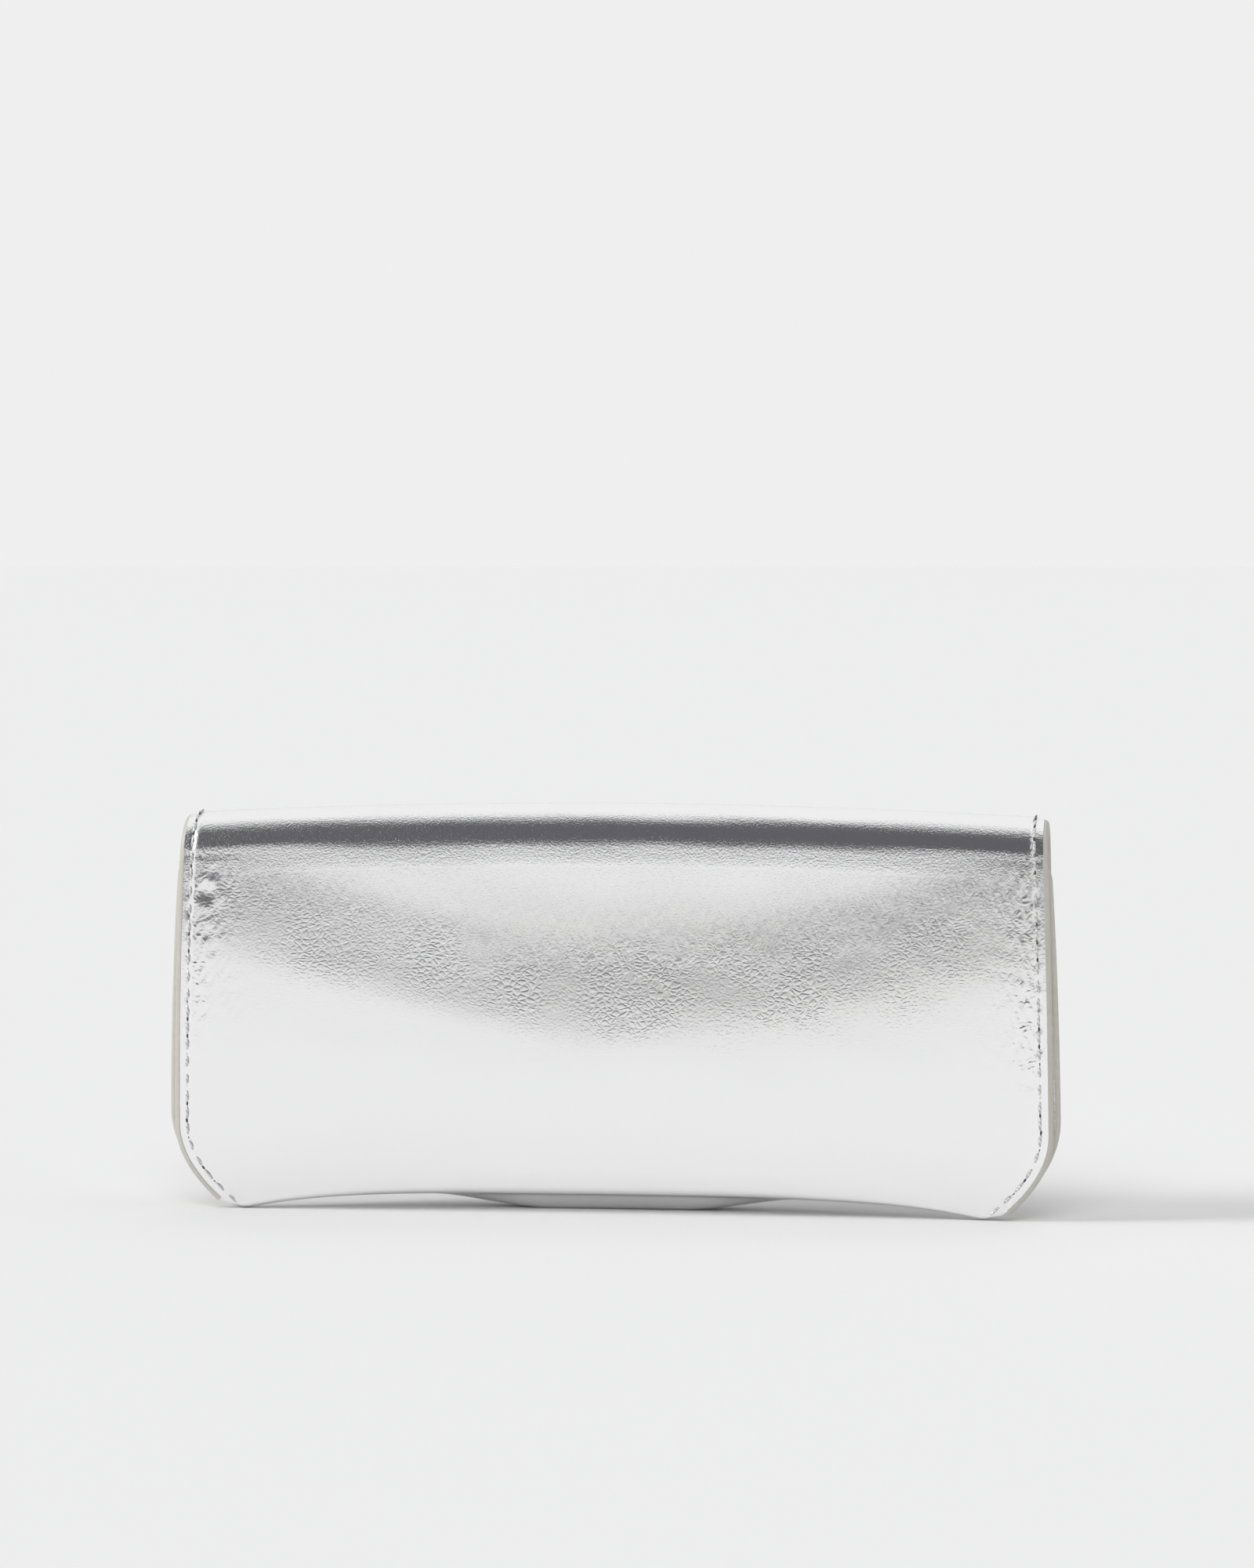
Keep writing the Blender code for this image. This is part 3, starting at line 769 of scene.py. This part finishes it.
# Each route runs so that the edge's outside lies to its left as seen from outside
mouth_route = (
    down_side(-1, ((0.995, 0), (0.12, 60), (0.0, 24)))
    + across_end(0.0, -1, 1, 90)
    + down_side(1, ((0.0, 0), (0.12, 24), (0.995, 60)))
)
flap_route = (
    down_side(1, ((SPLIT_ROLL, 0), (4, 10), (4.7, 40), (4.999, 50)))
    + across_end(4.999, 1, -1, 90)
    + down_side(-1, ((4.999, 0), (4.7, 50), (4, 40), (SPLIT_ROLL, 10)))
)
back_stops = ((2.0, 0), (2.3, 40), (3, 50), (SPLIT_ROLL, 24))
back_left = down_side(-1, back_stops)[::-1]
back_right = down_side(1, back_stops)
front_edge = painted_edge("pouch_front_painted_edge", [mouth_route])
back_edge = painted_edge("pouch_back_painted_edge", [back_right, back_left])
flap_edge = painted_edge("flap_painted_edge", [flap_route])
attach(front_edge, "pouch")
over_back_hinge(back_edge)
over_flap_hinge(flap_edge)
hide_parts("front_edge_paint_left", "front_edge_paint_right")
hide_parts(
    "back_edge_paint_left",
    "back_edge_paint_right",
    "fold_edge_paint_left",
    "fold_edge_paint_right",
)
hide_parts("flap_edge_paint_left", "flap_edge_paint_right")

# --- Stitches ----------------------------------------------------------------------------------------


def stitch_tree():
    """Lays one stitch and one needle hole at each pitch along a route, facing out of the leather."""
    tree = bpy.data.node_groups.new("lockstitch_row", "GeometryNodeTree")
    face = tree.interface
    face.new_socket("Geometry", in_out="INPUT", socket_type="NodeSocketGeometry")
    sizes = (
        ("Pitch", STITCH_PITCH),
        ("Thread Length", 0.0023),
        ("Thread Width", 0.00052),
        ("Hole Length", 0.00090),
        ("Hole Width", 0.00042),
    )
    for label, value in sizes:
        socket = face.new_socket(label, in_out="INPUT", socket_type="NodeSocketFloat")
        socket.default_value = value
    for label in ("Thread Finish", "Hole Finish"):
        face.new_socket(label, in_out="INPUT", socket_type="NodeSocketMaterial")
    face.new_socket("Geometry", in_out="OUTPUT", socket_type="NodeSocketGeometry")
    given = add(tree, "NodeGroupInput").outputs

    route = add(tree, "GeometryNodeMeshToCurve", {"Mesh": given["Geometry"]})
    spaced = add(
        tree,
        "GeometryNodeResampleCurve",
        {"Curve": route.outputs[0], "Length": given["Pitch"]},
        mode="LENGTH",
    )
    outward = add(tree, "GeometryNodeInputNamedAttribute", {"Name": "facing"}, data_type="FLOAT_VECTOR")
    tangent = add(tree, "GeometryNodeInputTangent")
    lying = add(tree, "FunctionNodeAlignRotationToVector", {"Vector": tangent.outputs[0]}, axis="X")
    turned = add(
        tree,
        "FunctionNodeAlignRotationToVector",
        {"Rotation": lying.outputs[0], "Vector": outward.outputs[0]},
        axis="Z",
        pivot_axis="X",
    )

    # One stitch: a thread that bows up from one hole and down into the next
    half = add(tree, "ShaderNodeMath", {0: given["Thread Length"], 1: 0.5}, operation="MULTIPLY")
    back = add(tree, "ShaderNodeMath", {0: given["Thread Length"], 1: -0.5}, operation="MULTIPLY")
    dip = add(tree, "ShaderNodeMath", {0: given["Thread Width"], 1: -0.55}, operation="MULTIPLY")
    bow = add(tree, "ShaderNodeMath", {0: given["Thread Width"], 1: 0.95}, operation="MULTIPLY")
    start = add(tree, "ShaderNodeCombineXYZ", {"X": back.outputs[0], "Z": dip.outputs[0]})
    middle = add(tree, "ShaderNodeCombineXYZ", {"Z": bow.outputs[0]})
    end = add(tree, "ShaderNodeCombineXYZ", {"X": half.outputs[0], "Z": dip.outputs[0]})
    line = add(
        tree,
        "GeometryNodeCurveQuadraticBezier",
        {
            "Resolution": 5,
            "Start": start.outputs[0],
            "Middle": middle.outputs[0],
            "End": end.outputs[0],
        },
    )
    width = add(tree, "ShaderNodeMath", {0: given["Thread Width"], 1: 0.5}, operation="MULTIPLY")
    profile = add(tree, "GeometryNodeCurvePrimitiveCircle", {"Resolution": 7, "Radius": width.outputs[0]})
    yarn = add(
        tree,
        "GeometryNodeCurveToMesh",
        {"Curve": line.outputs[0], "Profile Curve": profile.outputs[0], "Fill Caps": True},
    )

    # One hole: a thin dark lens lying in the groove between two stitches, painted shade that stands for the
    # shadow in the needle hole
    lens = add(tree, "GeometryNodeMeshUVSphere", {"Segments": 10, "Rings": 4, "Radius": 0.5})
    stretch = add(
        tree,
        "ShaderNodeCombineXYZ",
        {"X": given["Hole Length"], "Y": given["Hole Width"], "Z": 0.00014},
    )
    ahead = add(tree, "ShaderNodeMath", {0: given["Pitch"], 1: 0.5}, operation="MULTIPLY")
    beside = add(tree, "ShaderNodeCombineXYZ", {"X": ahead.outputs[0], "Z": -0.00008})
    hole = add(
        tree,
        "GeometryNodeTransform",
        {"Geometry": lens.outputs[0], "Translation": beside.outputs[0], "Scale": stretch.outputs[0]},
    )
    hole = add(
        tree,
        "GeometryNodeStoreNamedAttribute",
        {"Geometry": hole.outputs[0], "Name": "is_hole", "Value": True},
        data_type="BOOLEAN",
        domain="FACE",
    )
    both = add(tree, "GeometryNodeJoinGeometry")
    tree.links.new(yarn.outputs[0], both.inputs[0])
    tree.links.new(hole.outputs[0], both.inputs[0])
    laid = add(
        tree,
        "GeometryNodeInstanceOnPoints",
        {"Points": spaced.outputs[0], "Instance": both.outputs[0], "Rotation": turned.outputs[0]},
    )
    whole = add(tree, "GeometryNodeRealizeInstances", {"Geometry": laid.outputs[0]})
    smoothed = add(tree, "GeometryNodeSetShadeSmooth", {"Geometry": whole.outputs[0]})
    marked = add(tree, "GeometryNodeInputNamedAttribute", {"Name": "is_hole"}, data_type="BOOLEAN")
    finished = add(
        tree,
        "GeometryNodeSetMaterial",
        {"Geometry": smoothed.outputs[0], "Material": given["Thread Finish"]},
    )
    finished = add(
        tree,
        "GeometryNodeSetMaterial",
        {
            "Geometry": finished.outputs[0],
            "Selection": marked.outputs[0],
            "Material": given["Hole Finish"],
        },
    )
    add(tree, "NodeGroupOutput", {"Geometry": finished.outputs[0]})
    return tree


STITCHES = stitch_tree()


def stitch_row(name, routes):
    """Rows of stitches on the leather, each route given as (u, s) pairs."""
    points, edges, outward, first = [], [], [], 0
    for route in routes:
        u, s = np.array(route).T
        out = facing(u, s)
        points.append(leather_place(u, s) + out * 0.00006)
        outward.append(out)
        edges += [(first + i, first + i + 1) for i in range(len(u) - 1)]
        first += len(u)
    mesh = bpy.data.meshes.new(name)
    mesh.from_pydata([tuple(p) for p in np.concatenate(points)], edges, [])
    attribute = mesh.attributes.new("facing", "FLOAT_VECTOR", "POINT")
    attribute.data.foreach_set("vector", np.concatenate(outward).astype(np.float32).ravel())
    guide = bpy.data.objects.new(name + "_route", mesh)
    bpy.context.scene.collection.objects.link(guide)
    modifier = guide.modifiers.new("lockstitch", "NODES")
    modifier.node_group = STITCHES
    for socket in STITCHES.interface.items_tree:
        if socket.name == "Thread Finish":
            modifier[socket.identifier] = thread
        elif socket.name == "Hole Finish":
            modifier[socket.identifier] = needle_hole
    bpy.context.view_layer.update()
    graph = bpy.context.evaluated_depsgraph_get()
    finished = bpy.data.meshes.new_from_object(guide.evaluated_get(graph), depsgraph=graph)
    guide.modifiers.remove(modifier)
    bpy.data.objects.remove(guide)
    made = bpy.data.objects.new(name, finished)
    finished.name = name
    bpy.context.scene.collection.objects.link(made)
    return made


def inset_route(side, stops):
    """A line STITCH_INSET inside the side's cut edge, measured square to it."""
    s = spread(*stops)
    u = np.full_like(s, side * (1 - STITCH_INSET / BACK_HALF))
    for _ in range(3):
        gap = edge_distance(u, s, outer_skin(u, s))
        u = side * (1 - (1 - np.abs(u)) * STITCH_INSET / np.maximum(gap, 1e-5))
        u = side * np.clip(np.abs(u), 0.6, 0.995)
    return list(zip(u, s))


back_seam = ((2.0, 0), (2.3, 60), (3, 100), (SPLIT_ROLL, 40))
seam_stitches = stitch_row("side_seam_stitches", [inset_route(side, back_seam) for side in (-1, 1)])
front_seam = ((0.06, 0), (0.96, 160))
mouth_s = STITCH_INSET / FRONT_LENGTH
mouth_line = [(u, mouth_s) for u in np.linspace(-0.955, 0.955, 240)]
front_stitches = stitch_row(
    "pouch_front_stitches", [inset_route(side, front_seam) for side in (-1, 1)] + [mouth_line]
)
end_s = 5 - STITCH_INSET / FLAP_LENGTH
flap_side = ((SPLIT_ROLL, 0), (4, 30), (4.7, 80), (end_s, 60))
flap_left = inset_route(-1, flap_side)
flap_line = [(u, end_s) for u in np.linspace(flap_left[-1][0], -flap_left[-1][0], 200)[1:-1]]
flap_stitches = stitch_row(
    "flap_stitches", [flap_left + flap_line + inset_route(1, flap_side)[::-1]]
)
over_back_hinge(seam_stitches)
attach(front_stitches, "pouch")
over_flap_hinge(flap_stitches)
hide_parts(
    "side_stitching_left",
    "side_stitching_right",
    "fold_stitching_left",
    "fold_stitching_right",
)
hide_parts("mouth_stitching")
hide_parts("flap_stitching")

# --- Inner pieces that the CAD model already has -----------------------------------------------------

for name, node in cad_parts.items():
    if "board" in name:
        finish = fibreboard
    elif "foam" in name:
        finish = cell_foam
    elif "magnet" in name or "plate" in name:
        finish = nickel
    else:
        continue
    node.data.materials.clear()
    node.data.materials.append(finish)

# --- Floor, light and camera -------------------------------------------------------------------------

# Matt white paper: no shine at all, so the case throws only a soft shadow on it
paper, _, paper_shader = new_material("matt_paper_sweep")
paper_shader.inputs["Base Color"].default_value = colour("#f2f2f2")
paper_shader.inputs["Roughness"].default_value = 1.0
paper_shader.inputs["Specular IOR Level"].default_value = 0.0
FLOOR_HALF = 40.0
corners = [(-1, -1), (1, -1), (1, 1), (-1, 1)]
floor_points = [(x * FLOOR_HALF, y * FLOOR_HALF, 0) for x, y in corners]
floor = make_object("floor", floor_points, [(0, 1, 2, 3)], paper)


def studio_world():
    """Even white surroundings, with a dark end in front of the case for the foil to mirror."""
    world = bpy.data.worlds.new("white_studio")
    world.use_nodes = True
    tree = world.node_tree
    tree.nodes.clear()
    way = add(tree, "ShaderNodeTexCoord").outputs["Generated"]
    parts = add(tree, "ShaderNodeSeparateXYZ", {0: way}).outputs
    toward = add(tree, "ShaderNodeMath", {0: parts["Y"], 1: -1.0}, operation="MULTIPLY")
    rise = add(tree, "ShaderNodeMath", {0: parts["Z"], 1: toward.outputs[0]}, operation="ARCTAN2")
    side = add(tree, "ShaderNodeMath", {0: parts["X"]}, operation="ABSOLUTE")

    def ramp(value, start, end):
        return add(
            tree,
            "ShaderNodeMapRange",
            {"Value": value, "From Min": start, "From Max": end},
            interpolation_type="SMOOTHSTEP",
        ).outputs[0]

    low = ramp(rise.outputs[0], math.radians(-0.5), math.radians(1.5))
    high = ramp(rise.outputs[0], math.radians(88), math.radians(74))
    flank = ramp(side.outputs[0], 0.66, 0.46)
    dark = add(tree, "ShaderNodeMath", {0: low, 1: high}, operation="MULTIPLY")
    dark = add(tree, "ShaderNodeMath", {0: dark.outputs[0], 1: flank}, operation="MULTIPLY")

    # Grey flags behind the case, to both sides, so that the flap has something to mirror
    ray = add(tree, "ShaderNodeLightPath").outputs
    behind = ramp(parts["Y"], 0.05, 0.25)
    beside = ramp(side.outputs[0], 0.24, 0.44)
    above = ramp(parts["Z"], 0.62, 0.36)
    flag = add(tree, "ShaderNodeMath", {0: behind, 1: beside}, operation="MULTIPLY")
    flag = add(tree, "ShaderNodeMath", {0: flag.outputs[0], 1: above}, operation="MULTIPLY")
    mirrored = add(tree, "ShaderNodeMath", {0: 0.8, 1: ray["Is Diffuse Ray"]}, operation="SUBTRACT")
    flag = add(
        tree, "ShaderNodeMath", {0: flag.outputs[0], 1: mirrored.outputs[0]}, operation="MULTIPLY"
    )
    dark = add(tree, "ShaderNodeMath", {0: dark.outputs[0], 1: flag.outputs[0]}, operation="MAXIMUM")
    seen = add(
        tree,
        "ShaderNodeMix",
        {"Factor": dark.outputs[0], 6: colour("#f1f1f1"), 7: colour("#5f5f63")},
        data_type="RGBA",
    )
    # Matt surfaces take half of their light from the lamps, so the surroundings light them less
    level = add(
        tree, "ShaderNodeMath", {0: ray["Is Diffuse Ray"], 1: -0.45, 2: 1.0}, operation="MULTIPLY_ADD"
    )
    lit = add(
        tree, "ShaderNodeBackground", {"Color": seen.outputs[2], "Strength": level.outputs[0]}
    )
    plain = add(tree, "ShaderNodeBackground", {"Color": colour("#efefef")})
    chosen = add(
        tree, "ShaderNodeMixShader", {0: ray["Is Camera Ray"], 1: lit.outputs[0], 2: plain.outputs[0]}
    )
    add(tree, "ShaderNodeOutputWorld", {"Surface": chosen.outputs[0]})
    return world


bpy.context.scene.world = studio_world()


def lamp(name, toward, strength, width, mirrored):
    """Soft light from far away. A lamp that isn't mirrored leaves no spot on the foil."""
    light = bpy.data.lights.new(name, "SUN")
    light.energy = strength
    light.angle = math.radians(width)
    made = bpy.data.objects.new(name, light)
    bpy.context.scene.collection.objects.link(made)
    made.rotation_mode = "QUATERNION"
    made.rotation_quaternion = Vector(toward).to_track_quat("Z", "Y")
    made.visible_glossy = mirrored


lamp("key_softbox_left", (-0.85, -0.21, 0.46), 1.50, 19, True)
lamp("front_fill", (0.0, -0.72, 0.70), 1.15, 40, False)
lamp("top_fill", (0.0, 0.15, 1.0), 0.35, 60, False)

CAMERA_DISTANCE = 1.0
CAMERA_HEIGHT = 0.1313
AZIMUTH = math.radians(7.47)
PITCH = math.radians(2.66)
ASIDE = math.radians(0.098)  # the camera aims this far to the right of the case's middle
camera = bpy.data.cameras.new("camera")
camera.sensor_width = 36
camera.lens = 115.06
camera_object = bpy.data.objects.new("camera", camera)
bpy.context.scene.collection.objects.link(camera_object)
camera_object.location = (
    CAMERA_DISTANCE * math.sin(AZIMUTH),
    -CAMERA_DISTANCE * math.cos(AZIMUTH),
    CAMERA_HEIGHT,
)
camera_object.rotation_euler = (math.pi / 2 - PITCH, 0, AZIMUTH - ASIDE)
bpy.context.scene.camera = camera_object
bpy.context.scene.view_settings.view_transform = "Standard"
